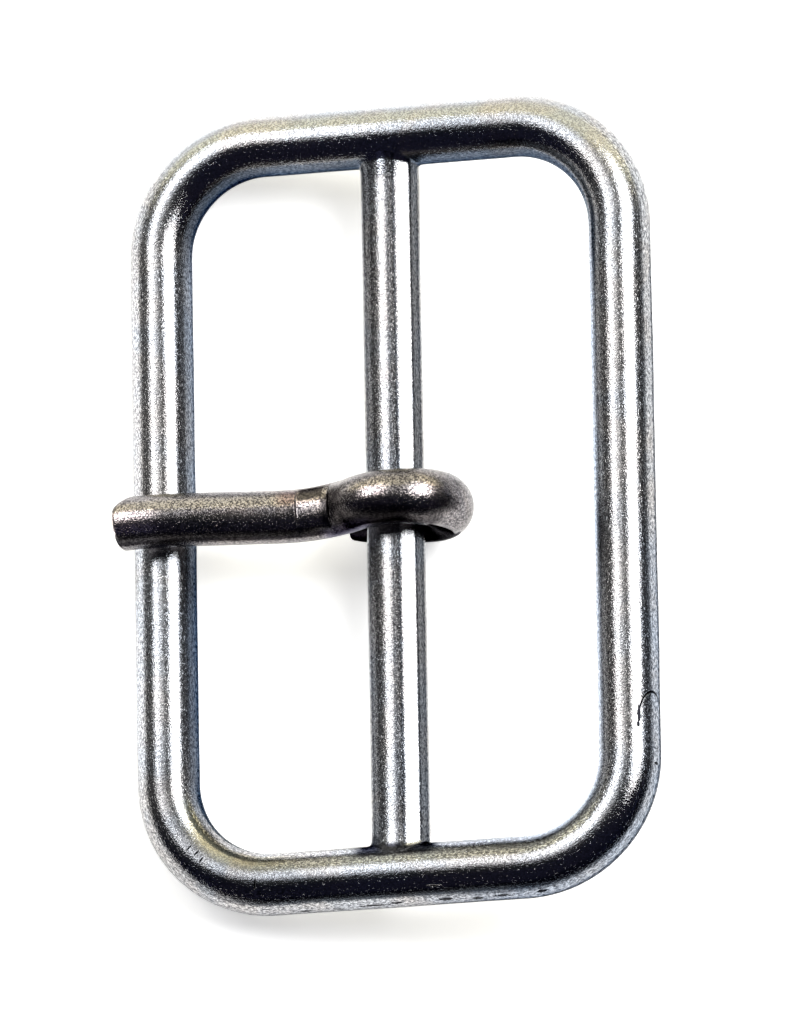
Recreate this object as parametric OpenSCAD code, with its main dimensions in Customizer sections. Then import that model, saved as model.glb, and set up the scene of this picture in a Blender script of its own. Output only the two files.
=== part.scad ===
// Waistcoat buckle: an oblong frame of round wire with a soldered centre bar,
// and a wire prong whose eye turns on that bar.
// Every piece is drawn with the frame flat in the XY plane and its bar along Y.
// The whole buckle is then tipped about Y, as it lies on a table: on the rail
// under the prong's tip and on the eye, with the other long rail raised.

/* [Frame] */
// Diameter of the frame's round wire
frame_wire_d = 2.25; // [1.9:0.05:2.5]
// Outside width of the frame, across the bar
frame_w = 19.4; // [18:0.1:22]
// Clear width between the short rails, which is the width of the strap
strap_w = 25; // [20:0.5:32]
// Radius of the corners, to the middle of the wire
corner_r = 3.9; // [3:0.1:4.5]

/* [Centre bar] */
// Diameter of the centre bar
bar_d = 2.12; // [1.8:0.02:2.3]
// How far the bar lies below the middle plane of the frame
bar_drop = 0.2; // [0:0.05:0.3]
// How far the bar's soldered ends stop short of the middle of the short rails
bar_end_inset = 0.45; // [0.1:0.05:0.6]

/* [Prong] */
// Diameter of the prong's wire
prong_wire_d = 1.94; // [1.7:0.02:2.1]
// Outside radius of the eye, measured from the middle of the bar
eye_outer_r = 2.83; // [2.7:0.01:3]
// Running gap all round between the eye's bore and the bar
eye_clearance = 0.08; // [0.05:0.01:0.1]
// Angle of the wire's end, counted from under the bar towards the shank
eye_end_angle = 70; // [60:1:85]
// Distance from the bar to the lowest point of the neck
neck_reach = 2.9; // [2.8:0.05:3.1]
// Bend radius of the neck, to the middle of the wire
neck_r = 3.25; // [3:0.05:3.5]
// Bend radius of the crown, where the prong curls over the rail
crown_r = 5.5; // [5:0.1:6.5]
// How far the top of the crown lies past the middle of the rail
crown_past_rail = 0.5; // [0.3:0.05:0.7]
// How far the cut tip stands past the middle of the rail
tip_past_rail = 1.05; // [0.8:0.05:1.4]
// Gap between the prong and the rail that it rests on
rest_gap = 0.03; // [0.02:0.01:0.1]
// Sideways turn of the prong, seen from above
prong_yaw = 2.4; // [0:0.1:2.5]
// Place of the prong along the bar, counted from its middle
prong_shift = -0.1; // [-1:0.05:1]

/* [Pressed flat] */
// Distance from the bar to the near end of the flat
flat_near = 2.1; // [2:0.05:2.3]
// Distance from the bar to the far end of the flat
flat_far = 3.25; // [3:0.05:3.4]
// Depth of the flat below the lowest part of the neck's top
flat_depth = 0.06; // [0.02:0.01:0.12]

/* [Hidden] */
$fn = 96;

frame_colour = [0.42, 0.42, 0.44];
prong_colour = [0.36, 0.36, 0.38];

wire_r = frame_wire_d / 2;
bar_r = bar_d / 2;
prong_r = prong_wire_d / 2;

// Half sizes of the frame, to the middle of its wire
half_w = frame_w / 2 - wire_r;
half_l = strap_w / 2 + wire_r;

// The prong's outline in the XZ plane: three bends and the straight shank.
// All its points are [x, z], with the bar at x = 0 and the tip towards -X.
eye_bend_r = eye_outer_r - prong_r;
bore_r = bar_r + eye_clearance;
bar_c = [0, -bar_drop];
neck_c = [-neck_reach, bar_c[1] + sqrt(pow(eye_bend_r + neck_r, 2) - pow(neck_reach, 2))];
crown_to_rail = crown_r - prong_r - wire_r - rest_gap;
crown_c = [
    -half_w - crown_past_rail,
    -sqrt(pow(crown_to_rail, 2) - pow(crown_past_rail, 2))
];

// Angle of the line from the bar to the neck's centre, where the eye turns into the neck
neck_start = acos(-neck_reach / (eye_bend_r + neck_r));
// The shank is the line that touches the neck's bend from below and the crown's from above
span = neck_c - crown_c;
shank_slope = atan2(span[0], span[1]) - acos((crown_r + neck_r) / norm(span));
shank_up = [sin(shank_slope), cos(shank_slope)];
shank_start = neck_c - neck_r * shank_up;
shank_end = crown_c + crown_r * shank_up;
// Slope of the wire at its cut tip, downwards
tip_slope = asin((tip_past_rail - crown_past_rail) / crown_r);
tip_c = crown_c + crown_r * [-sin(tip_slope), cos(tip_slope)];

// How the buckle lies: both its supports touch the table at this tilt
tilt = atan2(bar_drop, half_w) + asin((eye_outer_r - wire_r) / norm([half_w, bar_drop]));
lift = half_w * sin(tilt) + wire_r;
// Reach of the two ends of the tipped buckle in X
tip_rim = [
    cos(tilt) * cos(prong_yaw) * sin(tip_slope) + sin(tilt) * cos(tip_slope),
    cos(tilt) * sin(prong_yaw)
];
low_x = cos(tilt) * cos(prong_yaw) * tip_c[0] - sin(tilt) * tip_c[1] - prong_r * norm(tip_rim);
high_x = half_w * cos(tilt) + wire_r;
mid_x = (low_x + high_x) / 2;

// Tips the flat buckle as it lies, and stands it on z = 0 with its box centred on the origin
module as_it_lies() {
    translate([-mid_x, 0, lift])
        rotate([0, -tilt, 0])
            children();
}

// A round bar of radius r and length l, centred, along Y
module round_along_y(r, l) {
    rotate([90, 0, 0])
        cylinder(r = r, h = l, center = true);
}

// A round bar of radius r and length l, centred, along X
module round_along_x(r, l) {
    rotate([0, 90, 0])
        cylinder(r = r, h = l, center = true);
}

// A bend of the prong's wire round centre c, between two angles counted from +X towards +Z
module prong_bend(c, bend_r, from, to) {
    translate([c[0], 0, c[1]])
        rotate([90, 0, 0])
            rotate_extrude(angle = to - from, start = from)
                translate([bend_r, 0])
                    circle(r = prong_r);
}

// The straight shank between the neck and the crown
module shank() {
    translate([shank_end[0], 0, shank_end[1]])
        rotate([0, 90 + shank_slope, 0])
            cylinder(r = prong_r, h = norm(shank_start - shank_end));
}

// The whole wire of the prong, before its bore and its pressed flat
module prong_wire() {
    prong_bend(bar_c, eye_bend_r, -90 - eye_end_angle, neck_start);
    prong_bend(neck_c, neck_r, 270 - shank_slope, 180 + neck_start);
    shank();
    prong_bend(crown_c, crown_r, 90 - shank_slope, 90 + tip_slope);
}

// The flat that a tool pressed across the top of the neck
module pressed_flat() {
    flat_z = neck_c[1] - (neck_r - prong_r) - flat_depth;
    translate([-flat_far, -prong_wire_d, flat_z])
        cube([flat_far - flat_near, 2 * prong_wire_d, prong_wire_d]);
}

module ring() {
    side_l = 2 * (half_l - corner_r);
    end_l = 2 * (half_w - corner_r);
    for (side = [-1, 1]) {
        translate([side * half_w, 0, 0])
            round_along_y(wire_r, side_l);
        translate([0, side * half_l, 0])
            round_along_x(wire_r, end_l);
    }
    for (quarter = [0 : 3]) {
        corner_x = (quarter == 0 || quarter == 3 ? 1 : -1) * (half_w - corner_r);
        corner_y = (quarter < 2 ? 1 : -1) * (half_l - corner_r);
        translate([corner_x, corner_y, 0])
            rotate_extrude(angle = 90, start = 90 * quarter)
                translate([corner_r, 0])
                    circle(r = wire_r);
    }
}

module centre_bar() {
    translate([0, 0, -bar_drop])
        round_along_y(bar_r, 2 * (half_l - bar_end_inset));
}

// The frame with its soldered bar, one solid
module frame() {
    color(frame_colour)
        as_it_lies()
            union() {
                ring();
                centre_bar();
            }
}

// The prong, whose bore runs true to the bar
module prong() {
    color(prong_colour)
        as_it_lies()
            translate([0, prong_shift, 0])
                difference() {
                    rotate([0, 0, prong_yaw])
                        difference() {
                            prong_wire();
                            pressed_flat();
                        }
                    translate([bar_c[0], 0, bar_c[1]])
                        round_along_y(bore_r, 2 * prong_wire_d);
                }
}

frame();
prong();
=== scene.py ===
# A waistcoat buckle of dark antique nickel, lying on a pale floor under soft studio light.
# The two pieces of wire are drawn in millimetres with the buckle flat, as level surfaces of
# distance functions, and are then tipped as the buckle lies and scaled to metres.
import math

import bpy
import numpy as np
from mathutils import Matrix, Vector


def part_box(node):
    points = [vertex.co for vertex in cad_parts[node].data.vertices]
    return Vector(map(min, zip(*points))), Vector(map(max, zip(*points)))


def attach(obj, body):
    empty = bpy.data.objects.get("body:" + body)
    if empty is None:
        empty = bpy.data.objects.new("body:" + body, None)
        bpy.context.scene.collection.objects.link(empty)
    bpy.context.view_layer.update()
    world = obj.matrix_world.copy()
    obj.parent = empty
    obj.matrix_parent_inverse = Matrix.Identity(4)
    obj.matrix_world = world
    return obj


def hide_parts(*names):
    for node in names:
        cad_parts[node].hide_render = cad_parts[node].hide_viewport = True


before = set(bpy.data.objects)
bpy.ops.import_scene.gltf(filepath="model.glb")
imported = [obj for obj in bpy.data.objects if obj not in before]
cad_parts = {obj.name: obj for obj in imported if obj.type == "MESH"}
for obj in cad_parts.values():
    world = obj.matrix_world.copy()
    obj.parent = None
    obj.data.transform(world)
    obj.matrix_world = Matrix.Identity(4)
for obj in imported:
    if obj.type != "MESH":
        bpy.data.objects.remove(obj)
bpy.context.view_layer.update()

MM = 0.001

# Frame and bar, in millimetres
WIRE_R = 1.125
HALF_W = 8.575
HALF_L = 13.625
CORNER_R = 3.9
BAR_R = 1.06
BAR_DROP = 0.2
BAR_END_INSET = 0.45
BAR_END_ROUNDING = 0.2
SOLDER_BLEND = 0.16

# Length of the frame's wire in a long leg, a short leg and a corner
LONG_LEG = 2 * (HALF_L - CORNER_R)
SHORT_LEG = 2 * (HALF_W - CORNER_R)
CORNER_LEG = CORNER_R * math.pi / 2

# The bar rises a little towards its soldered ends: how high, from how far inside the middle of the
# short rails, and over what length
BAR_END_RISE = 0.10
BAR_END_RISE_FROM = 1.82
BAR_END_BEND = 1.3

# Flatter face that rolling left along the top of the bar: the way it faces, in degrees from
# straight up towards +X on the flat buckle, its shift sideways, its radius on either side of its
# crest, and its depth in the round wire
BAR_FACE = {"faces": 25.5, "shift": 0.15, "radius_left": 1.29, "radius_right": 3.1, "depth": 0.125}
FACE_BLEND = 0.02

# Prong, in millimetres and degrees
PRONG_R = 0.97
EYE_OUTER_R = 2.83
EYE_END_ANGLE = 70
BORE_R = 1.14
NECK_REACH = 2.9
NECK_R = 3.25
CROWN_R = 5.5
CROWN_PAST_RAIL = 0.5
TIP_PAST_RAIL = 1.05
REST_GAP = 0.03
PRONG_YAW = 2.4
PRONG_SHIFT = -0.1

# Flat pressed across the top of the neck: its near and far ends from the bar, its depth, and the
# radius across the wire, slope along it and shift sideways that the press gave its surface
FLAT_NEAR = 1.95
FLAT_FAR = 3.25
FLAT_DEPTH = 0.06
PRESS_R = 1.2
PRESS_SLOPE = 4.5
PRESS_SHIFT = -0.10
FLAT_EDGE_ROUNDING = 0.03

# Ends of the prong's wire: the bevel of the cut tip, how far the tip and the eye's end reach past
# the bends that they close, and how the edges of both and of the bore are rounded
TIP_BEVEL = 0.35
TIP_OUT = 0.03
EYE_END_OUT = 0.4
EYE_END_ROUNDING = 0.9
CUT_ROUNDING = 0.16
BORE_EDGE_ROUNDING = 0.06

# How far the eye's upper shoulder, away from the shank, was left outside a true circle
EYE_SHOULDER = 0.12

# Waves and knocks of wire that was drawn, bent and tumbled: their height and their size
HAND_WORN = [
    {"height": 0.010, "size": 2.6},
    {"height": 0.0045, "size": 1.0},
    {"height": 0.0014, "size": 0.4},
]

# Numbers that give each piece waves of its own
FRAME_SEED = 11
PRONG_SEED = 29

# Fineness of the meshes, in millimetres along a wire and points round it
STEP_ALONG = 0.14
STEP_FINE = 0.06
ROUND_WIRE = 96
ROUND_BAR = 84
CAP_RINGS = 12

# How far the fine steps reach from the bar's joints, along the short rails and along the bar
JOINT_ON_RAIL = 1.7
JOINT_ON_BAR = 1.6

# Sizes of the rings that close the bar's ends, as shares of the bar's own
BAR_CAPS = [0.35, 0.7, 0.9]

# Steps over which slopes are measured, in millimetres, to settle points and to find their normals
SETTLE_STEP = 0.004
NORMAL_STEP = 0.012

# Where the bar's unrolled surface begins on the frame's UV map, clear of the ring's
BAR_UV_START = 120

# How the buckle lies, tipped about Y on its left rail and the prong's eye
TILT = math.atan2(BAR_DROP, HALF_W) + math.asin((EYE_OUTER_R - WIRE_R) / math.hypot(HALF_W, BAR_DROP))
LIFT = HALF_W * math.sin(TILT) + WIRE_R
SHIFT_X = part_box("frame")[1].x / MM - (HALF_W * math.cos(TILT) + WIRE_R)
LYING = Matrix.Translation((SHIFT_X, 0, LIFT)) @ Matrix.Rotation(-TILT, 4, "Y")
TO_WORLD = Matrix.Scale(MM, 4) @ LYING


# Distance functions, for arrays of points in millimetres

def eased(share):
    """A share from 0 to 1 with a soft start and a soft end."""
    return share * share * (3 - 2 * share)


def blend_min(a, b, width):
    """The smaller of two distances, rounded where they are less than width apart."""
    near = np.maximum(width - np.abs(a - b), 0) / width
    return np.minimum(a, b) - near * near * width / 4


def blend_max(a, b, width):
    """The larger of two distances, rounded where they are less than width apart."""
    return -blend_min(-a, -b, width)


# Large odd factors that scatter the values of neighbouring cells, and the bits that are kept
CELL_FACTORS = (73856093, 19349663, 83492791)
SEED_FACTOR = 2654435761
MIX_FACTOR = 1274126177
LOW_32_BITS = 0xFFFFFFFF
LOW_24_BITS = 0xFFFFFF


def lattice(cell, seed):
    """A fixed value from 0 to 1 for each whole-numbered cell."""
    x, y, z = (cell[:, axis] * factor for axis, factor in enumerate(CELL_FACTORS))
    bits = x ^ y ^ z ^ seed * SEED_FACTOR
    bits = (bits ^ (bits >> 13)) * MIX_FACTOR & LOW_32_BITS
    return ((bits ^ (bits >> 16)) & LOW_24_BITS) / LOW_24_BITS


def smooth_noise(points, size, seed):
    """Smooth noise from -1 to 1, with bumps of about the given size."""
    scaled_points = points / size
    cell = np.floor(scaled_points).astype(np.int64)
    part = eased(scaled_points - cell)
    total = np.zeros(len(points))
    for corner in np.ndindex(2, 2, 2):
        corner = np.array(corner)
        weight = np.prod(np.where(corner == 1, part, 1 - part), axis=1)
        total += weight * lattice(cell + corner, seed)
    return 2 * total - 1


def hand_worn(points, seed):
    """The slight waves and knocks of the wire's surface."""
    waves = enumerate(HAND_WORN)
    return sum(wave["height"] * smooth_noise(points, wave["size"], seed + i) for i, wave in waves)


def ring_distance(points):
    """Distance from the frame's wire, which follows a rounded oblong."""
    past_corner = np.abs(points[:, :2]) - (np.array([HALF_W, HALF_L]) - CORNER_R)
    outside = np.linalg.norm(np.maximum(past_corner, 0), axis=1)
    inside = np.minimum(past_corner.max(axis=1), 0)
    return np.hypot(outside + inside - CORNER_R, points[:, 2]) - WIRE_R


def bar_distance(points):
    """Distance from the bar, with its flatter face and its rising ends."""
    risen = np.clip((np.abs(points[:, 1]) - (HALF_L - BAR_END_RISE_FROM)) / BAR_END_BEND, 0, 1)
    up = points[:, 2] + BAR_DROP - BAR_END_RISE * eased(risen)
    faces = math.radians(BAR_FACE["faces"])
    face_across = points[:, 0] * math.cos(faces) - up * math.sin(faces) - BAR_FACE["shift"]
    face_up = points[:, 0] * math.sin(faces) + up * math.cos(faces)
    face_r = np.where(face_across < 0, BAR_FACE["radius_left"], BAR_FACE["radius_right"])
    sunk = BAR_R - BAR_FACE["depth"] - face_r
    face = np.hypot(face_across, face_up - sunk) - face_r
    side = blend_max(np.hypot(points[:, 0], up) - BAR_R, face, FACE_BLEND)
    end = np.abs(points[:, 1]) - (HALF_L - BAR_END_INSET)
    return blend_max(side, end, BAR_END_ROUNDING)


def frame_distance(points):
    """The frame with its bar soldered in."""
    whole = blend_min(ring_distance(points), bar_distance(points), SOLDER_BLEND)
    return whole - hand_worn(points, FRAME_SEED)


# The prong's wire, which is walked from the eye's end to the cut tip

def arc_points(centre, radius, degrees):
    """Points in the XZ plane on an arc, at angles counted from +X towards +Z."""
    angle = np.radians(degrees)
    return np.stack([centre[0] + radius * np.cos(angle), centre[1] + radius * np.sin(angle)], axis=-1)


def prong_bends():
    """The three bends of the centre line in the XZ plane: the eye, the neck and the crown."""
    eye_r = EYE_OUTER_R - PRONG_R
    eye_c = np.array([0, -BAR_DROP])
    neck_rise = math.sqrt((eye_r + NECK_R) ** 2 - NECK_REACH ** 2)
    neck_c = eye_c + np.array([-NECK_REACH, neck_rise])
    to_rail = CROWN_R - PRONG_R - WIRE_R - REST_GAP
    crown_drop = math.sqrt(to_rail ** 2 - CROWN_PAST_RAIL ** 2)
    crown_c = np.array([-HALF_W - CROWN_PAST_RAIL, -crown_drop])
    neck_start = math.degrees(math.acos(-NECK_REACH / (eye_r + NECK_R)))
    span = neck_c - crown_c
    slope = math.atan2(span[0], span[1]) - math.acos((CROWN_R + NECK_R) / np.linalg.norm(span))
    tip_slope = math.asin((TIP_PAST_RAIL - CROWN_PAST_RAIL) / CROWN_R)
    slope = math.degrees(slope)
    return [
        {"centre": eye_c, "radius": eye_r, "from": -90 - EYE_END_ANGLE, "to": neck_start},
        {"centre": neck_c, "radius": NECK_R, "from": 180 + neck_start, "to": 270 - slope},
        {"centre": crown_c, "radius": CROWN_R, "from": 90 - slope, "to": 90 + math.degrees(tip_slope)},
    ]


EYE, NECK, CROWN = prong_bends()
FLAT_Z = NECK["centre"][1] - (NECK_R - PRONG_R) - FLAT_DEPTH


def bend_length(bend):
    """Length of wire in a bend."""
    return bend["radius"] * math.radians(abs(bend["to"] - bend["from"]))


def bend_point(bend, end):
    """The point where a bend starts or ends, which end tells as "from" or "to"."""
    return arc_points(bend["centre"], bend["radius"], bend[end])


SHANK_START = bend_point(NECK, "to")
SHANK_END = bend_point(CROWN, "from")
SHANK_LENGTH = float(np.linalg.norm(SHANK_END - SHANK_START))
SHANK_DIRECTION = (SHANK_END - SHANK_START) / SHANK_LENGTH
NECK_AT = bend_length(EYE)
SHANK_AT = NECK_AT + bend_length(NECK)
CROWN_AT = SHANK_AT + SHANK_LENGTH
TIP_AT = CROWN_AT + bend_length(CROWN)


def round_eye(quarters):
    """A place along the wire, in quarter turns of the eye from its lowest point up and over."""
    lowest = EYE["radius"] * math.radians(EYE_END_ANGLE)
    return lowest + quarters * EYE["radius"] * math.pi / 2


# Bending by hand: place along the wire, its sideways shift towards +Y, and its spread, which is how
# much wider than it was drawn the wire became where it was bent tight
HAND_BENT = [
    {"at": 0, "shift": 0.16, "spread": 1.0},
    {"at": round_eye(0), "shift": 0.13, "spread": 1.05},
    {"at": round_eye(0.5), "shift": -0.03, "spread": 1.09},
    {"at": round_eye(1), "shift": -0.05, "spread": 1.12},
    {"at": round_eye(1.5), "shift": -0.02, "spread": 1.05},
    {"at": round_eye(2), "shift": 0.03, "spread": 1.02},
    {"at": NECK_AT, "shift": -0.01, "spread": 1.0},
    {"at": SHANK_AT - 0.5, "shift": -0.10, "spread": 1.0},
    {"at": SHANK_AT + 0.6, "shift": -0.095, "spread": 1.0},
    {"at": CROWN_AT, "shift": 0.0, "spread": 1.0},
    {"at": TIP_AT, "shift": 0.02, "spread": 1.0},
]

# Length of wire over which the table's kinks are smoothed, and in how many samples
SMOOTHED_OVER = 1.0
SMOOTHING_SAMPLES = 7


def hand_bent(along, what):
    """Smoothed shift or spread at places along the prong's wire."""
    places = [row["at"] for row in HAND_BENT]
    values = [row[what] for row in HAND_BENT]
    window = np.linspace(-SMOOTHED_OVER / 2, SMOOTHED_OVER / 2, SMOOTHING_SAMPLES)
    return np.mean([np.interp(along + offset, places, values) for offset in window], axis=0)


def nearest_on_bend(plane, bend, start_at):
    """Distance of points in the XZ plane from one bend, and the nearest place along the wire."""
    offset = plane - bend["centre"]
    middle = (bend["from"] + bend["to"]) / 2
    half = abs(bend["to"] - bend["from"]) / 2
    angle = np.degrees(np.arctan2(offset[:, 1], offset[:, 0]))
    turned = (angle - middle + 180) % 360 - 180
    held = np.clip(turned, -half, half)
    nearest = arc_points(bend["centre"], bend["radius"], middle + held)
    direction = 1 if bend["to"] > bend["from"] else -1
    along = start_at + np.radians(half + direction * held) * bend["radius"]
    return np.linalg.norm(plane - nearest, axis=1), along


def nearest_on_shank(plane):
    """The same for the straight shank."""
    along = np.clip((plane - SHANK_START) @ SHANK_DIRECTION, 0, SHANK_LENGTH)
    nearest = SHANK_START + along[:, None] * SHANK_DIRECTION
    return np.linalg.norm(plane - nearest, axis=1), SHANK_AT + along


def nearest_on_wire(plane):
    """Distance of points in the XZ plane from the centre line, and the nearest place along it."""
    reached = [
        nearest_on_bend(plane, EYE, 0),
        nearest_on_bend(plane, NECK, NECK_AT),
        nearest_on_shank(plane),
        nearest_on_bend(plane, CROWN, CROWN_AT),
    ]
    gaps = np.array([gap for gap, along in reached])
    places = np.array([along for gap, along in reached])
    nearest = gaps.argmin(axis=0)
    rows = np.arange(len(plane))
    return gaps[nearest, rows], places[nearest, rows]


def out_of_round(plane):
    """Draws points at the eye's upper shoulder in towards the bar, by as much as it stands out."""
    offset = plane - EYE["centre"]
    quadrant = np.clip(np.arctan2(offset[:, 1], offset[:, 0]), 0, math.pi / 2)
    out = EYE_SHOULDER * (1 - np.cos(4 * quadrant)) / 2
    away = np.maximum(np.linalg.norm(offset, axis=1), PRONG_R / 2)
    return plane - offset * (out / away)[:, None]


def past_cut(plane, bend, end, outward):
    """Signed distance past the plane that cuts the wire square at one end of a bend."""
    angle = math.radians(bend[end])
    heading = outward * np.array([-math.sin(angle), math.cos(angle)])
    return (plane - bend_point(bend, end)) @ heading


def past_tip(plane, sideways):
    """Signed distance past the cut tip, which is bevelled on its +Y side."""
    cut = past_cut(plane, CROWN, "to", 1) - TIP_OUT
    bevel = (cut + sideways) * math.sqrt(0.5) - TIP_BEVEL
    return blend_max(cut, bevel, CUT_ROUNDING)


def above_flat(own):
    """Positive in what the press took away, above the flat and between its two ends."""
    beside = np.maximum(-FLAT_FAR - own[:, 0], own[:, 0] + FLAT_NEAR)
    rise = (own[:, 0] + (FLAT_NEAR + FLAT_FAR) / 2) * math.tan(math.radians(PRESS_SLOPE))
    press_axis = FLAT_Z + rise - PRESS_R
    level = np.hypot(own[:, 1] - PRESS_SHIFT, own[:, 2] - press_axis) - PRESS_R
    return np.minimum(-beside, level)


COS_YAW = math.cos(math.radians(PRONG_YAW))
SIN_YAW = math.sin(math.radians(PRONG_YAW))


def to_prong(points):
    """Points of the flat buckle in the prong's own frame, before its yaw and its place along the bar."""
    moved = points - np.array([0, PRONG_SHIFT, 0])
    x = COS_YAW * moved[:, 0] + SIN_YAW * moved[:, 1]
    y = -SIN_YAW * moved[:, 0] + COS_YAW * moved[:, 1]
    return np.stack([x, y, moved[:, 2]], axis=1)


def from_prong(points):
    """Points of the prong's own frame in the flat buckle's."""
    x = COS_YAW * points[:, 0] - SIN_YAW * points[:, 1]
    y = SIN_YAW * points[:, 0] + COS_YAW * points[:, 1]
    return np.stack([x, y + PRONG_SHIFT, points[:, 2]], axis=1)


def prong_distance(points):
    """The bent wire, cut at both ends, bored for the bar and pressed flat at the neck."""
    own = to_prong(points)
    plane = out_of_round(own[:, [0, 2]])
    gap, along = nearest_on_wire(plane)
    sideways = own[:, 1] - hand_bent(along, "shift")
    wire = np.hypot(gap, sideways / hand_bent(along, "spread")) - PRONG_R
    wire = wire - hand_worn(points, PRONG_SEED)
    by_tip = along > SHANK_AT
    wire = np.where(by_tip, blend_max(wire, past_tip(plane, sideways), CUT_ROUNDING), wire)
    by_end = along < NECK_AT / 2
    past_end = past_cut(plane, EYE, "from", -1) - EYE_END_OUT
    wire = np.where(by_end, blend_max(wire, past_end, EYE_END_ROUNDING), wire)
    bore = BORE_R - np.hypot(points[:, 0], points[:, 2] + BAR_DROP)
    bored = blend_max(wire, bore, BORE_EDGE_ROUNDING)
    return blend_max(bored, above_flat(own), FLAT_EDGE_ROUNDING)


# Settling of points on a surface

def slope_of(distance, points, step):
    """Gradient of a distance function by central differences."""
    columns = []
    for axis in range(3):
        reach = np.zeros(3)
        reach[axis] = step
        columns.append((distance(points + reach) - distance(points - reach)) / (2 * step))
    return np.stack(columns, axis=1)


def settle(points, distance, passes=6, longest=0.15, flattest=0.1):
    """Moves points onto the zero level of a distance function."""
    for _ in range(passes):
        slope = slope_of(distance, points, SETTLE_STEP)
        steep = np.sqrt(np.maximum((slope * slope).sum(axis=1), flattest))
        move = np.clip(distance(points) / steep, -longest, longest)
        points = points - move[:, None] * slope / steep[:, None]
    return points


# Meshes

def grid_mesh(name, rings, along, closed):
    """A tube from rings of points, whose UV map holds millimetres along it and degrees round it."""
    count, round_count = rings.shape[:2]
    mesh = bpy.data.meshes.new(name)
    faces = []
    uvs = []
    legs = count if closed else count - 1
    around = np.arange(round_count + 1) / round_count * 360
    for i in range(legs):
        this = i * round_count
        after = (i + 1) % count * round_count
        for k in range(round_count):
            n = (k + 1) % round_count
            faces.append((this + k, after + k, after + n, this + n))
            uvs += [
                (along[i], around[k]),
                (along[i + 1], around[k]),
                (along[i + 1], around[k + 1]),
                (along[i], around[k + 1]),
            ]
    if not closed:
        for i, order in ((0, 1), (count - 1, -1)):
            faces.append([i * round_count + k for k in range(round_count)][::order])
            uvs += [(along[i], 0)] * round_count
    mesh.from_pydata(rings.reshape(-1, 3).tolist(), [], faces)
    layer = mesh.uv_layers.new(name="unrolled")
    layer.data.foreach_set("uv", np.array(uvs, np.float32).ravel())
    mesh.update()
    return mesh


def places_along(length, step, fine_from=0.0, fine_to=0.0):
    """Places from 0 up to length, closer together in one stretch."""
    places = [0.0]
    while places[-1] < length - step / 2:
        fine = fine_from <= places[-1] < fine_to
        places.append(places[-1] + (STEP_FINE if fine else step))
    return [p * length / places[-1] for p in places]


def ring_rings():
    """Rings of points round the frame's wire, walked as four straight legs and four corners."""
    position = np.array([HALF_W, -LONG_LEG / 2])
    heading = math.pi / 2
    centres, outwards, along = [], [], []
    walked = 0.0
    for leg in range(8):
        outward = np.array([math.sin(heading), -math.cos(heading)])
        if leg % 2 == 0:
            has_joint = leg // 2 % 2 == 1
            length = SHORT_LEG if has_joint else LONG_LEG
            fine = JOINT_ON_RAIL if has_joint else 0.0
            forward = np.array([math.cos(heading), math.sin(heading)])
            for place in places_along(length, STEP_ALONG, length / 2 - fine, length / 2 + fine)[:-1]:
                centres.append(position + place * forward)
                outwards.append(outward)
                along.append(walked + place)
            position = position + length * forward
        else:
            length = CORNER_LEG
            middle = position - CORNER_R * outward
            for place in places_along(length, STEP_ALONG)[:-1]:
                turned = heading + place / CORNER_R
                side = np.array([math.sin(turned), -math.cos(turned)])
                centres.append(middle + CORNER_R * side)
                outwards.append(side)
                along.append(walked + place)
            heading += math.pi / 2
            position = middle + CORNER_R * np.array([math.sin(heading), -math.cos(heading)])
        walked += length
    along.append(walked)
    centres, outwards = np.array(centres), np.array(outwards)
    angle = np.arange(ROUND_WIRE) / ROUND_WIRE * 2 * math.pi - math.pi / 2
    flat = centres[:, None] + WIRE_R * np.cos(angle)[None, :, None] * outwards[:, None]
    height = np.broadcast_to(WIRE_R * np.sin(angle)[None, :, None], flat.shape[:2] + (1,))
    return np.concatenate([flat, height], axis=2), along


def bar_rings():
    """Rings of points along the bar, from its -Y end to its +Y end, with both ends closed."""
    half = HALF_L - BAR_END_INSET
    fine = places_along(JOINT_ON_BAR, STEP_FINE)
    plain = places_along(2 * (half - fine[-1]), STEP_ALONG)
    places = fine[:-1] + [fine[-1] + p for p in plain] + [2 * half - p for p in fine[-2::-1]]
    angle = -np.arange(ROUND_BAR) / ROUND_BAR * 2 * math.pi - math.pi / 2
    circle = BAR_R * np.stack([np.cos(angle), np.sin(angle)], axis=1)
    rings = np.array([[(x, p - half, z - BAR_DROP) for x, z in circle] for p in places])
    middle = np.array([0, 0, -BAR_DROP])
    first = [rings[0] * [s, 1, s] + middle * [1, 1, 1 - s] for s in BAR_CAPS]
    last = [rings[-1] * [s, 1, s] + middle * [1, 1, 1 - s] for s in BAR_CAPS[::-1]]
    whole = np.concatenate([np.array(first), rings, np.array(last)])
    along = np.array([0.0] * len(first) + places + [2 * half] * len(last))
    return whole, along + BAR_UV_START


def wire_place(place):
    """A point of the prong's centre line in the XZ plane, and the direction square to the wire there."""
    if SHANK_AT <= place < CROWN_AT:
        point = SHANK_START + (place - SHANK_AT) * SHANK_DIRECTION
        return point, np.array([-SHANK_DIRECTION[1], SHANK_DIRECTION[0]])
    if place < NECK_AT:
        bend, start, sign = EYE, 0, 1
    elif place < SHANK_AT:
        bend, start, sign = NECK, NECK_AT, -1
    else:
        bend, start, sign = CROWN, CROWN_AT, 1
    turned = bend["from"] + sign * math.degrees((place - start) / bend["radius"])
    point = arc_points(bend["centre"], bend["radius"], turned)
    return point, sign * (bend["centre"] - point) / bend["radius"]


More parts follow.
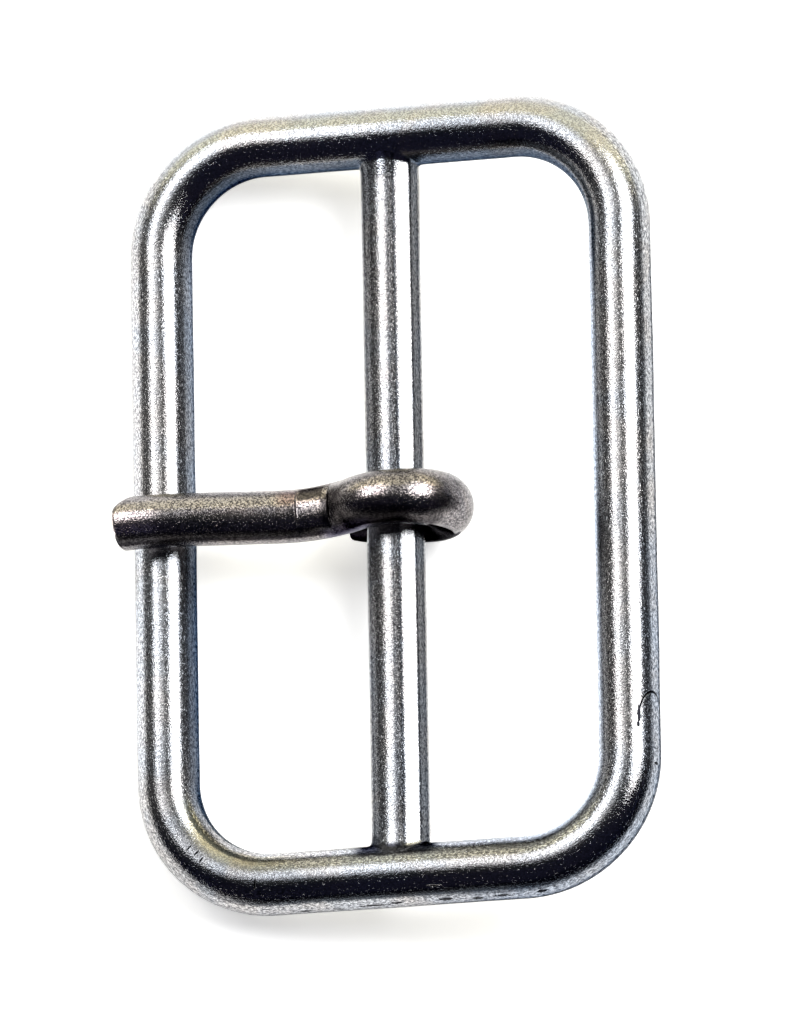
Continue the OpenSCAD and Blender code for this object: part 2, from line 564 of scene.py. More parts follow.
def prong_rings():
    """Rings of points along the prong's wire from the eye's end to the tip, with both ends closed."""
    angle = np.arange(ROUND_WIRE) / ROUND_WIRE * 2 * math.pi
    sideways = np.array([0, 1, 0])
    along = places_along(TIP_AT, STEP_FINE)
    rings = []
    for place in along:
        point, side = wire_place(place)
        middle = np.array([point[0], hand_bent(place, "shift"), point[1]])
        up = np.array([side[0], 0, side[1]])
        ring = [middle + PRONG_R * (math.cos(a) * up + math.sin(a) * sideways) for a in angle]
        rings.append(np.array(ring))
    caps = []
    for ring in (rings[0], rings[-1]):
        middle = ring.mean(axis=0)
        sizes = np.linspace(0, 1, CAP_RINGS + 1)[1:-1]
        caps.append([middle + size * (ring - middle) for size in sizes])
    first, last = caps
    whole = np.array(first + rings + last[::-1])
    along = [along[0]] * len(first) + along + [along[-1]] * len(last)
    return from_prong(whole.reshape(-1, 3)).reshape(whole.shape), along


def set_down(mesh, distance):
    """Settles a mesh on its surface, tips it as the buckle lies, and gives it the surface's own normals."""
    points = np.zeros(len(mesh.vertices) * 3)
    mesh.vertices.foreach_get("co", points)
    points = settle(points.reshape(-1, 3), distance)
    normals = slope_of(distance, points, NORMAL_STEP)
    normals /= np.linalg.norm(normals, axis=1)[:, None]
    mesh.vertices.foreach_set("co", points.ravel())
    mesh.transform(TO_WORLD)
    mesh.update()
    mesh.polygons.foreach_set("use_smooth", [True] * len(mesh.polygons))
    turned = normals @ np.array(LYING.to_3x3()).T
    mesh.normals_split_custom_set_from_vertices(turned.tolist())
    return mesh


def fused(first, second, name):
    """One mesh from two overlapping ones."""
    a = bpy.data.objects.new("fuse_a", first)
    b = bpy.data.objects.new("fuse_b", second)
    for piece in (a, b):
        bpy.context.scene.collection.objects.link(piece)
    union = a.modifiers.new("union", "BOOLEAN")
    union.operation = "UNION"
    union.solver = "EXACT"
    union.object = b
    bpy.context.view_layer.update()
    result = bpy.data.meshes.new_from_object(a.evaluated_get(bpy.context.evaluated_depsgraph_get()))
    result.name = name
    for mesh in (first, second):
        bpy.data.meshes.remove(mesh)
    return result


def add_piece(mesh, body, node, material):
    """A piece of the visual model, which rides with a body and stands in for a node."""
    piece = bpy.data.objects.new(mesh.name, mesh)
    bpy.context.scene.collection.objects.link(piece)
    mesh.materials.clear()
    mesh.materials.append(material)
    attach(piece, body)
    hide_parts(node)


# Shader nodes

def add_node(tree, kind, inputs=None, **settings):
    """A shader node with its settings, and its inputs as values or links."""
    node = tree.nodes.new(kind)
    for name, value in settings.items():
        setattr(node, name, value)
    for key, value in (inputs or {}).items():
        if isinstance(value, bpy.types.NodeSocket):
            tree.links.new(value, node.inputs[key])
        else:
            node.inputs[key].default_value = value
    return node


def scaled(tree, vector, scale):
    return add_node(tree, "ShaderNodeMapping", {"Vector": vector, "Scale": scale}).outputs["Vector"]


def in_mm(tree):
    """Place in the object, in millimetres."""
    source = add_node(tree, "ShaderNodeTexCoord")
    return scaled(tree, source.outputs["Object"], (1 / MM, 1 / MM, 1 / MM))


def unrolled(tree):
    """Place on the unrolled wire: millimetres along it and degrees round it."""
    return add_node(tree, "ShaderNodeTexCoord").outputs["UV"]


def place_on_wire(tree):
    """Place along the wire in millimetres and angle round it in degrees."""
    parts = add_node(tree, "ShaderNodeSeparateXYZ", {"Vector": unrolled(tree)})
    return parts.outputs["X"], parts.outputs["Y"]


def noise(tree, place, scale, detail, roughness, distortion=0.0):
    inputs = {"Vector": place, "Scale": scale, "Detail": detail, "Roughness": roughness}
    inputs["Distortion"] = distortion
    return add_node(tree, "ShaderNodeTexNoise", inputs).outputs["Fac"]


def sandy(tree, place, scale):
    """A different value from 0 to 1 for every grain of a fine sand."""
    grains = add_node(tree, "ShaderNodeTexVoronoi", {"Vector": place, "Scale": scale})
    return add_node(tree, "ShaderNodeSeparateColor", {"Color": grains.outputs["Color"]}).outputs["Red"]


def between(tree, value, low, high, to_low=0.0, to_high=1.0):
    """Rises softly from to_low to to_high while a value goes from low to high."""
    inputs = {"Value": value, "From Min": low, "From Max": high, "To Min": to_low, "To Max": to_high}
    return add_node(tree, "ShaderNodeMapRange", inputs, interpolation_type="SMOOTHSTEP").outputs["Result"]


def maths(tree, operation, *values):
    return add_node(tree, "ShaderNodeMath", dict(enumerate(values)), operation=operation).outputs[0]


def colour_sockets(sockets):
    return [socket for socket in sockets if socket.type == "RGBA"]


def mixed(tree, factor, a, b, blend_type="MIX"):
    """Colour a where a factor is 0, and colour b, or its blend with a, where it is 1."""
    node = add_node(tree, "ShaderNodeMix", {"Factor": factor}, data_type="RGBA", blend_type=blend_type)
    for socket, value in zip(colour_sockets(node.inputs), (a, b)):
        if isinstance(value, bpy.types.NodeSocket):
            tree.links.new(value, socket)
        else:
            socket.default_value = (*value, 1)
    return colour_sockets(node.outputs)[0]


def multiplied(tree, a, b):
    return mixed(tree, 1.0, a, b, "MULTIPLY")


def left_by(tree, covers):
    """What several covers leave bare together, each a value from 0 to 1."""
    bare = None
    for cover in covers:
        left = maths(tree, "SUBTRACT", 1.0, cover)
        bare = left if bare is None else maths(tree, "MULTIPLY", bare, left)
    return bare


# The plated wire

# Textures of the plate: bumps to a millimetre, or to a unit of the stretched unrolled wire
GRAIN = {"scale": 19.0, "detail": 2.0, "roughness": 0.6}
STAINS = {"scale": 0.42, "detail": 3.0, "roughness": 0.55, "distortion": 0.6}
STREAKS = {"scale": 1.0, "detail": 3.0, "roughness": 0.6}
PITS = {"scale": 1.0, "detail": 2.0, "roughness": 0.7}
DASHES = {"scale": 1.0, "detail": 3.0, "roughness": 0.8}
RAGS = {"scale": 13.0, "detail": 2.0, "roughness": 0.8}
MARK_RAGS = {"scale": 7.0, "detail": 2.0, "roughness": 0.7}
SAND_SCALE = 24.0

# How many go to a millimetre along the unrolled wire and to a degree round it
STREAK_FINENESS = (0.55, 0.14)
PIT_FINENESS = (18.0, 0.34)
FRAME_DASH = (7.0, 0.26)
PRONG_DASH = (11.0, 0.2)

# Between which values of a texture one tone goes over into the other, or plate into pit
SAND_RANGE = (0.2, 0.8)
STAIN_RANGE = (0.36, 0.64)
PIT_RANGE = (0.60, 0.70)
DASH_RANGE = (0.42, 0.58)

# How high the streaks stand and how deep the pits lie, against the grain
STREAK_HEIGHT = 0.35
PIT_DEPTH = 0.28

# How far the edges of tinted patches stray round the wire, in degrees
RAGGED_EDGE = 16.0

# The two tones of mottled metal, against its own
MOTTLE_DARK = (0.45, 0.45, 0.47)
MOTTLE_LIGHT = (1.7, 1.7, 1.7)
UNTINTED = (1, 1, 1)

# Nicks and hairlines: how ragged they are and how softly they end, as shares of their half sizes,
# and their tint
MARK_WOBBLE = 1.6
MARK_EDGE = (0.75, 1.0)
MARK_TINT = (0.02, 0.02, 0.025)


def antique_nickel(name, plate, oxide, warm, cool, grain_depth, pit_stretch, polish):
    """Plated wire with a fine tumbled grain, pits drawn out along it, streaks and faint stains."""
    material = bpy.data.materials.new(name)
    material.use_nodes = True
    tree = material.node_tree
    shader = tree.nodes["Principled BSDF"]
    place = in_mm(tree)
    surface = unrolled(tree)

    sand = sandy(tree, place, SAND_SCALE)
    stains = noise(tree, place, **STAINS)
    worn = mixed(tree, between(tree, sand, *SAND_RANGE), oxide, plate)
    stained = mixed(tree, between(tree, stains, *STAIN_RANGE), cool, warm)
    tree.links.new(multiplied(tree, worn, stained), shader.inputs["Base Color"])
    shader.inputs["Roughness"].default_value = polish
    shader.inputs["Metallic"].default_value = 1.0

    grain = noise(tree, place, **GRAIN)
    streaks = noise(tree, scaled(tree, surface, (*STREAK_FINENESS, 1)), **STREAKS)
    pit_fineness = (PIT_FINENESS[0] / pit_stretch, PIT_FINENESS[1], 1)
    pits = noise(tree, scaled(tree, surface, pit_fineness), **PITS)
    raised = maths(tree, "ADD", grain, maths(tree, "MULTIPLY", streaks, STREAK_HEIGHT))
    sunk = maths(tree, "MULTIPLY", between(tree, pits, *PIT_RANGE), PIT_DEPTH)
    relief = maths(tree, "SUBTRACT", raised, sunk)
    bump = add_node(tree, "ShaderNodeBump", {"Strength": 1.0, "Distance": grain_depth, "Height": relief})
    tree.links.new(bump.outputs["Normal"], shader.inputs["Normal"])
    return material


def along_window(tree, along, start, end, fade):
    """Rises from 0 to 1 over fade at start, and falls again at end."""
    rise = between(tree, along, start - fade / 2, start + fade / 2)
    fall = between(tree, along, end - fade / 2, end + fade / 2, 1.0, 0.0)
    return maths(tree, "MULTIPLY", rise, fall)


def around_window(tree, around, start, end, fade):
    """1 between two angles, which may run past 360, and 0 beyond them."""
    from_middle = maths(tree, "SUBTRACT", around, (start + end) / 2)
    turned = maths(tree, "WRAP", from_middle, 180.0, -180.0)
    aside = maths(tree, "ABSOLUTE", turned)
    half = (end - start) / 2
    return between(tree, aside, half - fade / 2, half + fade / 2, 1.0, 0.0)


def left_bare(tree, patches, ragged_edge):
    """How much of the metal the patches leave bare."""
    along, around = place_on_wire(tree)
    ragged = noise(tree, in_mm(tree), **RAGS)
    squared_off = maths(tree, "SUBTRACT", around, ragged_edge / 2)
    around = maths(tree, "MULTIPLY_ADD", ragged, ragged_edge, squared_off)
    covers = []
    for row in patches:
        lengthwise = along_window(tree, along, *row["along"])
        crosswise = around_window(tree, around, *row["around"])
        whole = maths(tree, "MULTIPLY", lengthwise, crosswise)
        covers.append(maths(tree, "MULTIPLY", whole, row["strength"]))
    return left_by(tree, covers)


def toned(tree, tint):
    """Multiplies a metal's colour by a tint, at its edges too."""
    shader = tree.nodes["Principled BSDF"]
    for socket in ("Base Color", "Specular Tint"):
        links = shader.inputs[socket].links
        result = multiplied(tree, links[0].from_socket, tint) if links else tint
        tree.links.new(result, shader.inputs[socket])


def tint_patches(material, patches, colour, ragged_edge=RAGGED_EDGE):
    """Tints patches of a wire: with a stain or a dark seam, or with painted shade or painted highlights."""
    tree = material.node_tree
    toned(tree, mixed(tree, left_bare(tree, patches, ragged_edge), colour, UNTINTED))


def mottled(material, patches, fineness):
    """Breaks up the tone of patches of a wire in ragged dashes."""
    tree = material.node_tree
    dashes = noise(tree, scaled(tree, unrolled(tree), (*fineness, 1)), **DASHES)
    tone = mixed(tree, between(tree, dashes, *DASH_RANGE), MOTTLE_DARK, MOTTLE_LIGHT)
    toned(tree, mixed(tree, left_bare(tree, patches, RAGGED_EDGE), tone, UNTINTED))


def mark_cover(tree, mark, along, around, wobble):
    """1 in a mark and 0 beside it: an ellipse on the unrolled wire, filled or as its upper rim alone."""
    offsets = []
    for place, middle, half in zip((along, around), mark["at"], mark["half"]):
        offsets.append(maths(tree, "DIVIDE", maths(tree, "SUBTRACT", place, middle), half))
    squares = [maths(tree, "MULTIPLY", offset, offset) for offset in offsets]
    reach = maths(tree, "SQRT", maths(tree, "ADD", *squares))
    if mark["rim"]:
        off_rim = maths(tree, "ABSOLUTE", maths(tree, "SUBTRACT", reach, 1.0))
        upper = maths(tree, "GREATER_THAN", offsets[0], 0.0)
        on_rim = between(tree, off_rim, mark["rim"] / 2, mark["rim"], 1.0, 0.0)
        return maths(tree, "MULTIPLY", on_rim, upper)
    return between(tree, maths(tree, "ADD", reach, wobble), *MARK_EDGE, 1.0, 0.0)


def marked(material, marks):
    """Dark nicks and hairlines, sunk in the surface."""
    tree = material.node_tree
    shader = tree.nodes["Principled BSDF"]
    bump = tree.nodes["Bump"]
    along, around = place_on_wire(tree)
    ragged = noise(tree, in_mm(tree), **MARK_RAGS)
    wobble = maths(tree, "MULTIPLY", maths(tree, "SUBTRACT", ragged, 0.5), MARK_WOBBLE)
    clear = left_by(tree, [mark_cover(tree, mark, along, around, wobble) for mark in marks])
    tint = mixed(tree, clear, MARK_TINT, UNTINTED)
    below = shader.inputs["Base Color"].links[0].from_socket
    tree.links.new(multiplied(tree, below, tint), shader.inputs["Base Color"])
    relief = bump.inputs["Height"].links[0].from_socket
    tree.links.new(maths(tree, "ADD", relief, clear), bump.inputs["Height"])


# The frame's metal. Along the ring, places run in millimetres from the lower end of the right rail
# up it, along the top rail, down the left rail and along the bottom rail. Round it, angles run in
# degrees from its underside over its outer side, top and inner side. Those round the bar run from
# its underside over its -X side.
RIGHT_RAIL_END = LONG_LEG
TOP_RAIL_START = RIGHT_RAIL_END + CORNER_LEG
TOP_RAIL_END = TOP_RAIL_START + SHORT_LEG
LEFT_RAIL_START = TOP_RAIL_END + CORNER_LEG
LEFT_RAIL_END = LEFT_RAIL_START + LONG_LEG
BOTTOM_RAIL_START = LEFT_RAIL_END + CORNER_LEG
BOTTOM_RAIL_END = BOTTOM_RAIL_START + SHORT_LEG
BOTTOM_MIDDLE = (BOTTOM_RAIL_START + BOTTOM_RAIL_END) / 2
RING_LENGTH = BOTTOM_RAIL_END + CORNER_LEG
BAR_UV_END = BAR_UV_START + 2 * (HALF_L - BAR_END_INSET)

# Stretches that many patches share: start, end and fade
RIGHT_RAIL = (-9, RIGHT_RAIL_END, 5)
RIGHT_STRIPES = (-7, RIGHT_RAIL_END + 4, 4)
TOP_RAIL = (RIGHT_RAIL_END, LEFT_RAIL_START, 5)
LEFT_RAIL = (LEFT_RAIL_START, LEFT_RAIL_END, 5)
LEFT_STRIPES = (LEFT_RAIL_START - 3, BOTTOM_RAIL_START + 2, 4)
LEFT_FOOT = (LEFT_RAIL_END - 9, LEFT_RAIL_END + 2, 4)
BOTTOM_RAIL = (BOTTOM_RAIL_START - 2, BOTTOM_RAIL_END + 2, 4)
BOTTOM_STRIPES = (BOTTOM_RAIL_START, BOTTOM_RAIL_END + 6, 3)
WHOLE_BAR = (BAR_UV_START - 1, BAR_UV_START + 30, 1)


def patch(along, around, strength):
    """A patch of a wire: its start, end and fade along it in mm and round it in degrees."""
    return {"along": along, "around": around, "strength": strength}


def past_seam(patches):
    """The patches, with those that begin before the ring's seam given again at its far end."""
    again = []
    for row in patches:
        start, end, fade = row["along"]
        if start < 0:
            again.append({**row, "along": (start + RING_LENGTH, end + RING_LENGTH, fade)})
    return patches + again


FRAME_MOTTLED = past_seam([
    patch(RIGHT_STRIPES, (60, 137, 8), 1.0),
    patch(RIGHT_STRIPES, (194, 300, 8), 1.0),
    patch(LEFT_STRIPES, (60, 160, 8), 1.0),
    patch(LEFT_STRIPES, (221, 300, 8), 1.0),
    patch(BOTTOM_STRIPES, (60, 126, 8), 1.0),
    patch(BOTTOM_STRIPES, (198, 300, 8), 0.9),
    patch((RIGHT_RAIL_END, LEFT_RAIL_START, 4), (232, 300, 8), 0.6),
    patch(WHOLE_BAR, (60, 158, 8), 1.0),
    patch(WHOLE_BAR, (184, 203, 4), 1.0),
    patch(WHOLE_BAR, (238, 320, 6), 1.0),
])
# Painted shade: the frame's inner sides, lower outer flanks and parts of its stripes are darkened to stand
# in for the shadowed floor and dark room that they reflect.
FRAME_PAINTED_SHADE = past_seam([
    patch(TOP_RAIL, (236, 330, 8), 0.6),
    patch(TOP_RAIL, (266, 330, 10), 0.3),
    patch((TOP_RAIL_END, LEFT_RAIL_START, 3), (228, 330, 10), 0.6),
    patch(LEFT_RAIL, (232, 330, 10), 0.45),
    patch(LEFT_RAIL, (266, 330, 10), 0.5),
    patch(LEFT_RAIL, (219, 240, 6), 0.55),
    patch(LEFT_FOOT, (236, 330, 10), 0.45),
    patch(RIGHT_RAIL, (206, 224, 12), 0.55),
    patch(RIGHT_RAIL, (40, 97, 8), 0.7),
    patch(RIGHT_RAIL, (92, 140, 12), 0.1),
    patch(RIGHT_RAIL, (119, 131, 6), 0.6),
    patch(BOTTOM_RAIL, (40, 92, 12), 0.6),
    patch(BOTTOM_RAIL, (126, 142, 6), 0.85),
    patch(BOTTOM_RAIL, (168, 182, 14), 0.6),
    patch(BOTTOM_RAIL, (182, 198, 8), 0.35),
    patch(BOTTOM_RAIL, (196, 224, 12), 0.45),
    patch((LEFT_RAIL_END - 1, LEFT_RAIL_END + 8, 3), (150, 200, 20), 0.4),
    patch((TOP_RAIL_START - 1, TOP_RAIL_START + 5, 3), (168, 196, 14), 0.5),
    patch((RIGHT_RAIL_END - 2, TOP_RAIL_START + 1, 3), (217, 232, 6), 0.85),
    patch((LEFT_RAIL_END + 0.5, BOTTOM_RAIL_START - 0.5, 3), (214.5, 226, 5), 0.9),
    patch((LEFT_RAIL_END, RING_LENGTH - 2, 3), (250, 330, 8), 0.8),
    patch(WHOLE_BAR, (234, 264, 8), 0.75),
    patch(WHOLE_BAR, (122, 152, 12), 0.4),
    patch(WHOLE_BAR, (183, 204, 3), 0.35),
    patch(WHOLE_BAR, (184, 190, 4), 0.35),
    patch(WHOLE_BAR, (198, 203.7, 3), 0.75),
])
# Painted shade where the bar meets the bottom rail and round both ends of the bar, over a dark solder seam.
FRAME_JOINT_SEAM_AND_SHADE = [
    patch((BOTTOM_MIDDLE - 1.5, BOTTOM_MIDDLE + 1.5, 0.7), (211, 264, 10), 0.95),
    patch((BAR_UV_START - 1, BAR_UV_START + 0.64, 0.16), (60, 200, 12), 1.0),
    patch((BAR_UV_START - 1, BAR_UV_START + 0.54, 0.16), (188, 300, 12), 1.0),
    patch((BAR_UV_START - 1, BAR_UV_START + 1.0, 0.5), (60, 150, 20), 0.7),
]
# Painted bluish shade on the inner sides, standing in for the bluish shadowed floor that they reflect.
FRAME_BLUE_SHADE = past_seam([
    patch(TOP_RAIL, (236, 330, 8), 0.7),
    patch(LEFT_RAIL, (240, 330, 10), 0.5),
    patch(LEFT_FOOT, (236, 330, 10), 0.5),
    patch(RIGHT_RAIL, (222, 330, 10), 0.6),
    patch((-9, 8, 4), (92, 140, 12), 0.5),
])
# Painted highlights: patches brightened where the stripes of light on the rails and at the bar's upper end
# should be brighter.
FRAME_PAINTED_HIGHLIGHTS = past_seam([
    patch((-7, RIGHT_RAIL_END, 4), (233, 262, 6), 1.0),
    patch((TOP_RAIL_START - 1, LEFT_RAIL_START - 2, 4), (80, 134, 12), 0.6),
    patch(LEFT_RAIL, (96, 148, 8), 0.5),
    patch((BOTTOM_RAIL_START, BOTTOM_RAIL_END, 4), (220, 238, 8), 0.8),
    patch((BAR_UV_END - 1.05, BAR_UV_END + 0.65, 0.3), (168, 185, 5), 1.0),
])
FRAME_CREAM = [
    patch((LEFT_RAIL_END + 1, LEFT_RAIL_END + 7, 2), (205, 232, 10), 0.8),
]


def nick(at, half, rim=0):
    """A mark at a place in mm and degrees, with its half sizes, and its rim's width where it is bare."""
    return {"at": at, "half": half, "rim": rim}


# The hairline and the specks on the right rail, the nicks in the lower left corner, and the dashes
# along the bottom rail's outer edge
FRAME_MARKS = [
    nick((1.0, 118), (1.06, 31), rim=0.065),
    nick((1.25, 148), (0.32, 4)),
    nick((0.85, 150), (0.12, 3)),
    nick((0.0, 112), (0.05, 9)),
    nick((RING_LENGTH - 0.4, 108), (0.05, 7)),
    nick((63.35, 182), (0.035, 8)),
    nick((63.7, 184), (0.04, 7)),
    nick((64.0, 180), (0.035, 8)),
    nick((66.2, 172), (0.04, 12)),
    nick((72.75, 147), (0.3, 2)),
    nick((67.83, 102), (0.28, 4)),
    nick((69.1, 101), (0.22, 4)),
    nick((70.4, 107), (0.6, 3.5)),
    nick((71.25, 111), (0.24, 4)),
    nick((73.1, 112), (0.34, 5)),
    nick((74.25, 107), (0.2, 6)),
    nick((75.2, 112), (0.45, 3.5)),
    nick((76.5, 113), (0.18, 5)),
]


def frame_nickel():
    """The frame's metal: mottled stripes, painted shade on its inner sides, flanks and soldered joints, a
    painted bluish shade, painted highlights, a cream tint, and its marks.
    """
    material = antique_nickel(
        "frame_nickel",
        plate=(0.34, 0.34, 0.35),
        oxide=(0.20, 0.20, 0.21),
        warm=(1.0, 0.97, 0.93),
        cool=(0.93, 0.97, 1.0),
        grain_depth=0.9e-5,
        pit_stretch=3.0,
        polish=0.09,
    )
    mottled(material, FRAME_MOTTLED, FRAME_DASH)
    # Painted shade on the frame's inner sides, flanks and stripes
    tint_patches(material, FRAME_PAINTED_SHADE, (0.10, 0.12, 0.15))
    # Painted shade and a dark solder seam at the bar's joints
    tint_patches(material, FRAME_JOINT_SEAM_AND_SHADE, (0.09, 0.09, 0.11))
    # Painted bluish shade on the frame's inner sides
    tint_patches(material, FRAME_BLUE_SHADE, (0.62, 0.74, 0.92))
    # Painted highlights on the frame
    tint_patches(material, FRAME_PAINTED_HIGHLIGHTS, (1.8, 1.85, 1.95))
    tint_patches(material, FRAME_CREAM, (1.0, 0.93, 0.72))
    marked(material, FRAME_MARKS)
    return material


# The prong's metal. Along it, places run from the eye's end to the tip, and round it, angles run
# from the underside over +Y.
SHOULDER_AT = SHANK_AT - 1.72
FLAT_STRETCH = (SHOULDER_AT, SHOULDER_AT + 1.15, 0.1)
PRONG_MOTTLED = [
    patch((round_eye(0.8), round_eye(1.32), 0.6), (100, 258, 20), 0.9),
]
# Painted shade: the prong's lower side, the gap between the eye's highlights, the neck and the flat's upper
# part are darkened to stand in for dark reflections.
PRONG_PAINTED_SHADE = [
    patch((round_eye(1.68), NECK_AT, 0.5), (208, 258, 16), 0.75),
    patch((round_eye(1.38), round_eye(1.68), 0.4), (214, 258, 16), 0.6),
    patch((round_eye(1.26), round_eye(1.44), 0.3), (186, 214, 14), 0.6),
    patch((round_eye(1.75), NECK_AT + 0.2, 0.5), (222, 256, 8), 0.75),
    patch((round_eye(1.18), round_eye(1.48), 0.5), (150, 216, 16), 0.4),
    patch((round_eye(1.69), round_eye(1.87), 0.4), (130, 182, 14), 0.4),
    patch((SHOULDER_AT, TIP_AT + 1, 0.3), (221, 250, 10), 0.8),
    patch((SHOULDER_AT, TIP_AT + 1, 0.3), (236, 248, 8), 0.5),
    patch((SHOULDER_AT, TIP_AT - 2.2, 2.0), (174, 192, 12), 0.55),
    patch((NECK_AT - 0.2, SHOULDER_AT, 0.4), (150, 262, 30), 0.8),
    patch(FLAT_STRETCH, (120, 158, 14), 0.75),
]
# Painted shade under the eye, where its lower limb lies in shadow beneath the bar.
PRONG_UNDERSIDE_SHADE = [
    patch((-1, round_eye(1.46), 0.2), (259, 420, 5), 1.0),
    patch((-1, round_eye(0.86), 0.25), (246, 440, 8), 0.95),
    patch((-1, round_eye(0.6), 0.4), (190, 250, 12), 0.95),
]
# Painted bluish shade on the lower side of the neck.
PRONG_BLUE_SHADE = [
    patch((NECK_AT - 0.8, SHOULDER_AT + 0.3, 0.6), (232, 285, 14), 0.4),
]
# Painted highlights on the eye, the pressed flat and the tip.
PRONG_PAINTED_HIGHLIGHTS = [
    patch((round_eye(1.92), round_eye(2.14), 0.3), (164, 190, 10), 1.0),
    patch((round_eye(1.5), round_eye(1.68), 0.3), (164, 192, 10), 0.5),
    patch(FLAT_STRETCH, (156, 172, 8), 0.8),
    patch((TIP_AT - 1.4, TIP_AT + 1, 0.6), (166, 214, 8), 1.0),
]
# A painted highlight that whitens the tip's reflection of the light.
PRONG_PAINTED_GLINT = [
    patch((TIP_AT - 1.3, TIP_AT + 1, 0.5), (197, 216, 8), 1.0),
]
PRONG_RUST = [
    patch((SHOULDER_AT + 1.2, SHOULDER_AT + 2.0, 0.5), (130, 168, 24), 0.4),
]


def prong_nickel():
    """The prong's metal, darker and duller than the frame's, with painted shade under the eye and along its
    lower side, and painted highlights in a few spots.
    """
    material = antique_nickel(
        "prong_nickel",
        plate=(0.30, 0.285, 0.28),
        oxide=(0.066, 0.062, 0.066),
        warm=(1.0, 0.95, 0.92),
        cool=(0.95, 0.95, 1.0),
        grain_depth=0.9e-5,
        pit_stretch=1.2,
        polish=0.18,
    )
    mottled(material, PRONG_MOTTLED, PRONG_DASH)
    # Painted shade on the prong
    tint_patches(material, PRONG_PAINTED_SHADE, (0.04, 0.04, 0.05))
    # Painted shade under the eye
    tint_patches(material, PRONG_UNDERSIDE_SHADE, (0.05, 0.045, 0.06), ragged_edge=0.0)
    # Painted bluish shade on the neck
    tint_patches(material, PRONG_BLUE_SHADE, (0.6, 0.6, 0.95))
    # Painted highlights on the prong
    tint_patches(material, PRONG_PAINTED_HIGHLIGHTS, (1.9, 1.8, 1.8))
    # Painted highlight at the tip
    tint_patches(material, PRONG_PAINTED_GLINT, (1.7, 1.7, 1.7))
    tint_patches(material, PRONG_RUST, (0.7, 0.35, 0.35))
    return material


# The pieces

ring_mesh = grid_mesh("ring", *ring_rings(), closed=True)
bar_mesh = grid_mesh("bar", *bar_rings(), closed=False)
frame_mesh = set_down(fused(ring_mesh, bar_mesh, "buckle_frame"), frame_distance)
prong_mesh = set_down(grid_mesh("buckle_prong", *prong_rings(), closed=False), prong_distance)
add_piece(frame_mesh, "frame", "frame", frame_nickel())
add_piece(prong_mesh, "prong", "prong", prong_nickel())

# Floor, in metres
FLOOR_HALF = 1.5
FLOOR_GREY = 0.9
FLOOR_ROUGHNESS = 0.7
FLOOR_GLOW = 0.5


def pale_floor():
    """A matt pale floor that glows a little, so that shadows on it stay faint."""
    material = bpy.data.materials.new("pale_floor")
    material.use_nodes = True
    shader = material.node_tree.nodes["Principled BSDF"]
    shader.inputs["Base Color"].default_value = (FLOOR_GREY, FLOOR_GREY, FLOOR_GREY, 1)
    shader.inputs["Roughness"].default_value = FLOOR_ROUGHNESS
    shader.inputs["Emission Color"].default_value = (1, 1, 1, 1)
    shader.inputs["Emission Strength"].default_value = FLOOR_GLOW
    return material


def lay_floor():
    """A wide square of floor under the buckle."""
    mesh = bpy.data.meshes.new("floor")
    square = [(-1, -1), (1, -1), (1, 1), (-1, 1)]
    mesh.from_pydata([(FLOOR_HALF * x, FLOOR_HALF * y, 0) for x, y in square], [], [(0, 1, 2, 3)])
    mesh.materials.append(pale_floor())
    floor = bpy.data.objects.new("floor", mesh)
    bpy.context.scene.collection.objects.link(floor)


lay_floor()

# Light: each softbox is placed by its direction from straight up, in degrees towards +X and +Y, and
# has half its width and height in degrees too
LIGHT_DISTANCE = 0.9
SOFTBOXES = [
    {"name": "key_right", "toward": (29.5, 18), "half": (16.5, 21), "radiance": 9.5, "shape": "ELLIPSE"},
    {"name": "key_left", "toward": (-36.5, 22.5), "half": (5.7, 14.5), "radiance": 11.0},
    {"name": "key_left_step", "toward": (-27.9, 23.5), "half": (2.9, 13), "radiance": 2.0},
    {"name": "key_left_inner", "toward": (-19, 22.5), "half": (6, 14.5), "radiance": 3.0},
    {"name": "gap_card", "toward": (-1, 22.5), "half": (12, 15), "radiance": 0.15},
]


def softbox(name, toward, half, radiance, shape="RECTANGLE"):
    """A white area light that faces the origin."""
    angle = math.radians(math.hypot(*toward))
    bearing = math.atan2(toward[1], toward[0])
    aside = math.sin(angle)
    outward = Vector((aside * math.cos(bearing), aside * math.sin(bearing), math.cos(angle)))
    upright = (Vector((0, 1, 0)) - outward.y * outward).normalized()
    across = upright.cross(outward)
    data = bpy.data.lights.new(name, "AREA")
    data.shape = shape
    data.size = 2 * LIGHT_DISTANCE * math.tan(math.radians(half[0]))
    data.size_y = 2 * LIGHT_DISTANCE * math.tan(math.radians(half[1]))
    data.energy = radiance * data.size * data.size_y * math.pi
    light = bpy.data.objects.new(name, data)
    facing = Matrix((across, upright, outward)).transposed().to_4x4()
    light.matrix_world = Matrix.Translation(outward * LIGHT_DISTANCE) @ facing
    bpy.context.scene.collection.objects.link(light)


for row in SOFTBOXES:
    softbox(**row)

# The room is dark on the camera's side and has a cream wall behind the buckle
ROOM = [
    {"toward_y": -1.0, "colour": (0.018, 0.018, 0.036)},
    {"toward_y": -0.2, "colour": (0.022, 0.022, 0.042)},
    {"toward_y": 0.0, "colour": (0.10, 0.10, 0.10)},
    {"toward_y": 0.22, "colour": (0.24, 0.24, 0.24)},
    {"toward_y": 0.52, "colour": (0.50, 0.48, 0.44)},
    {"toward_y": 0.66, "colour": (2.4, 2.25, 1.6)},
    {"toward_y": 1.0, "colour": (2.2, 2.1, 1.7)},
]


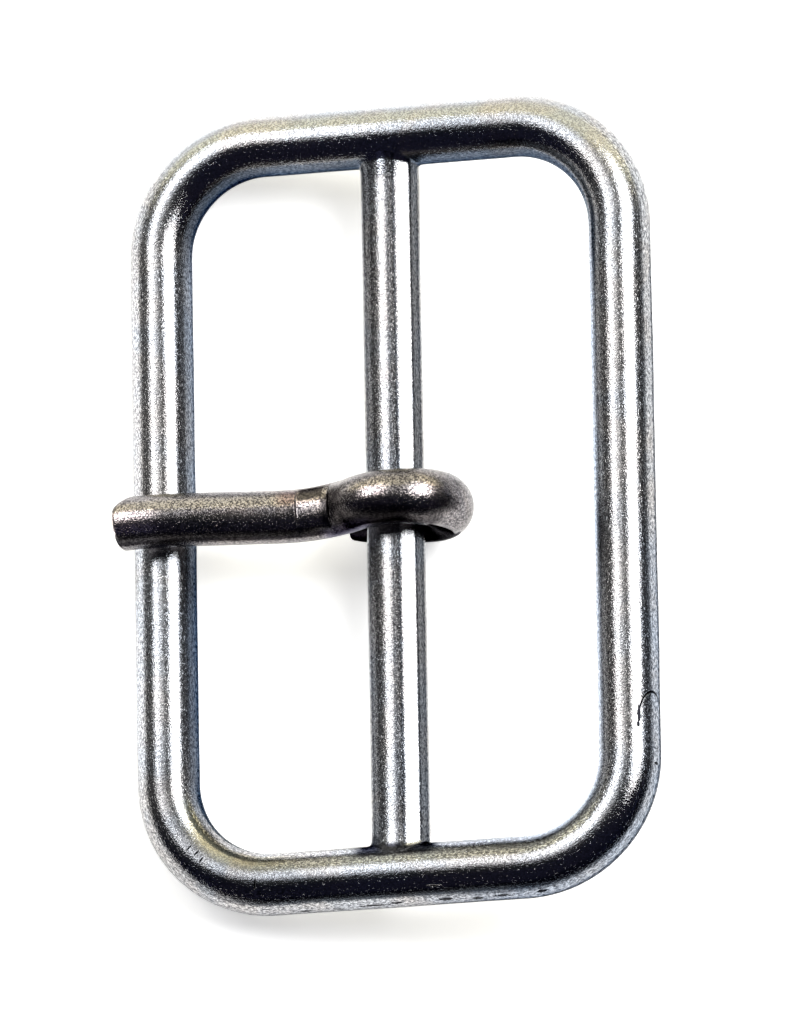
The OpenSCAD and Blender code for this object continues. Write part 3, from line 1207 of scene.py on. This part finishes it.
def studio_room():
    """The light that the room itself gives back, by how far a direction points towards +Y."""
    world = bpy.data.worlds.new("studio")
    world.use_nodes = True
    tree = world.node_tree
    source = add_node(tree, "ShaderNodeTexCoord")
    parts = add_node(tree, "ShaderNodeSeparateXYZ", {"Vector": source.outputs["Generated"]})
    spread = {"Value": parts.outputs["Y"], "From Min": -1.0, "From Max": 1.0}
    place = add_node(tree, "ShaderNodeMapRange", spread)
    ramp = add_node(tree, "ShaderNodeValToRGB", {"Fac": place.outputs["Result"]})
    stops = ramp.color_ramp.elements
    stops[1].position = 1.0
    for row in ROOM[1:-1]:
        stops.new((row["toward_y"] + 1) / 2)
    for stop, row in zip(stops, ROOM):
        stop.color = (*row["colour"], 1)
    tree.links.new(ramp.outputs["Color"], tree.nodes["Background"].inputs["Color"])
    return world


bpy.context.scene.world = studio_room()

# Camera: the photograph's view, told from the flat buckle as it is tipped here. Its turns are in
# degrees, its distance and its aim in millimetres.
CAMERA_RIGHT_TURN = 15.0
CAMERA_LOW_TURN = 12.26
CAMERA_ROLL = 1.004
CAMERA_DISTANCE = 583.5
CAMERA_LENS = 567.1
CAMERA_CLIP = (0.01, 10)
AIM_RIGHT = 0.209
AIM_DOWN = 0.368


def place_camera():
    """The camera, turned from looking straight down on the flat buckle and tipped with the buckle."""
    aim = (
        Matrix.Rotation(math.radians(CAMERA_ROLL), 3, "Z")
        @ Matrix.Rotation(math.radians(-CAMERA_LOW_TURN), 3, "X")
        @ Matrix.Rotation(math.radians(-CAMERA_RIGHT_TURN), 3, "Y")
    )
    right, up, back = (Vector(row) for row in aim)
    spot = back * CAMERA_DISTANCE + right * AIM_RIGHT - up * AIM_DOWN
    data = bpy.data.cameras.new("camera")
    data.lens = CAMERA_LENS
    data.clip_start, data.clip_end = CAMERA_CLIP
    camera = bpy.data.objects.new("camera", data)
    camera.matrix_world = (
        Matrix.Translation(LYING @ spot * MM)
        @ LYING.to_3x3().to_4x4()
        @ aim.transposed().to_4x4()
    )
    bpy.context.scene.collection.objects.link(camera)
    bpy.context.scene.camera = camera


place_camera()
bpy.context.scene.view_settings.view_transform = "Standard"
